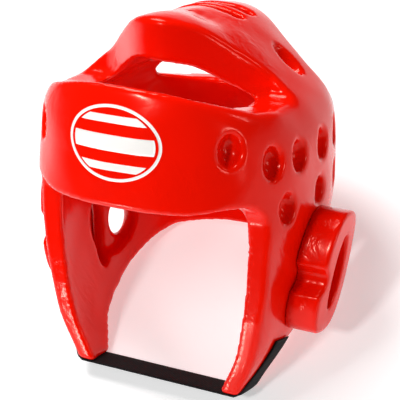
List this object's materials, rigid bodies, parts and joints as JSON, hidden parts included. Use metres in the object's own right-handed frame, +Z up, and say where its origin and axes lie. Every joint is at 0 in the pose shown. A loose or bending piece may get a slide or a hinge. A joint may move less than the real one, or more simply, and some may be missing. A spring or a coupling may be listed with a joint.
{
  "type": "taekwondo headgear",
  "caption": "Dipped foam head guard with forehead band, open crown gaps, cheek legs, raised ear cups with slots, blind dimples and a webbing chin strap.",
  "frame": {"origin": "middle of the bounding box at the surface that the headgear rests on", "axes": "-Y where the wearer's face looks out, +X the wearer's left, +Z up as it rests on its chin strap and nape edge, leaning back"},
  "size_m": [0.2398, 0.2412, 0.2393],
  "materials": {
    "dipped_foam_shell": "glossy dipped vinyl skin over closed-cell foam",
    "dipped_foam_cup": "glossy dipped vinyl skin over closed-cell foam",
    "webbing": "woven nylon webbing, matt"
  },
  "bodies": {
    "root": {"foam_shell": "dipped_foam_shell", "ear_cup_left": "dipped_foam_cup", "ear_cup_right": "dipped_foam_cup", "chin_strap": "webbing"}
  },
  "joints": []
}
